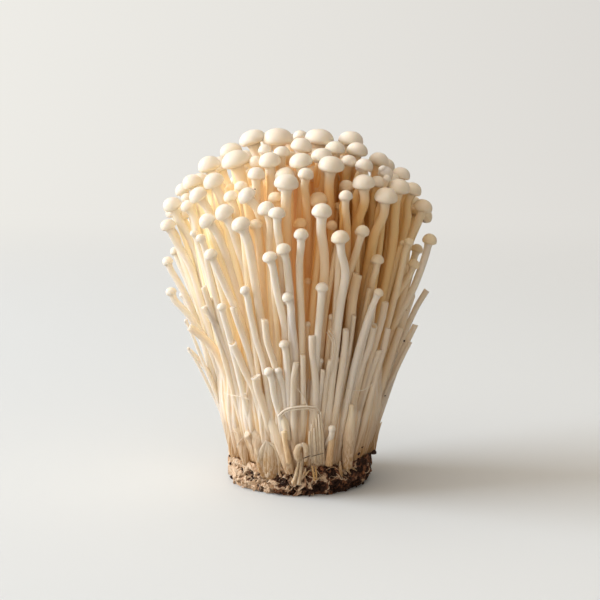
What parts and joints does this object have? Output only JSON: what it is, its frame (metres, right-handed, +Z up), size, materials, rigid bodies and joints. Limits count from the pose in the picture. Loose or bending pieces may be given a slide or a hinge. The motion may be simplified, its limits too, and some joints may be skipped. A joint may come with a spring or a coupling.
{
  "type": "mushroom bunch",
  "caption": "Bunch of slender pale enoki mushrooms with small domed caps, fanning up out of a round plug of crumbly growing medium.",
  "frame": {"origin": "centre of the growing medium's flat underside, which rests on the table", "axes": "+Z up the bunch, from the growing medium to the caps; -Y is the front; +X is to the right seen from the front"},
  "size_m": [0.11, 0.1104, 0.1431],
  "materials": {
    "growing_medium": "matt, crumbly",
    "mushroom_flesh": "soft satin"
  },
  "bodies": {
    "root": {"growing_medium": "growing_medium", "mushroom_bunch": "mushroom_flesh"}
  },
  "joints": []
}
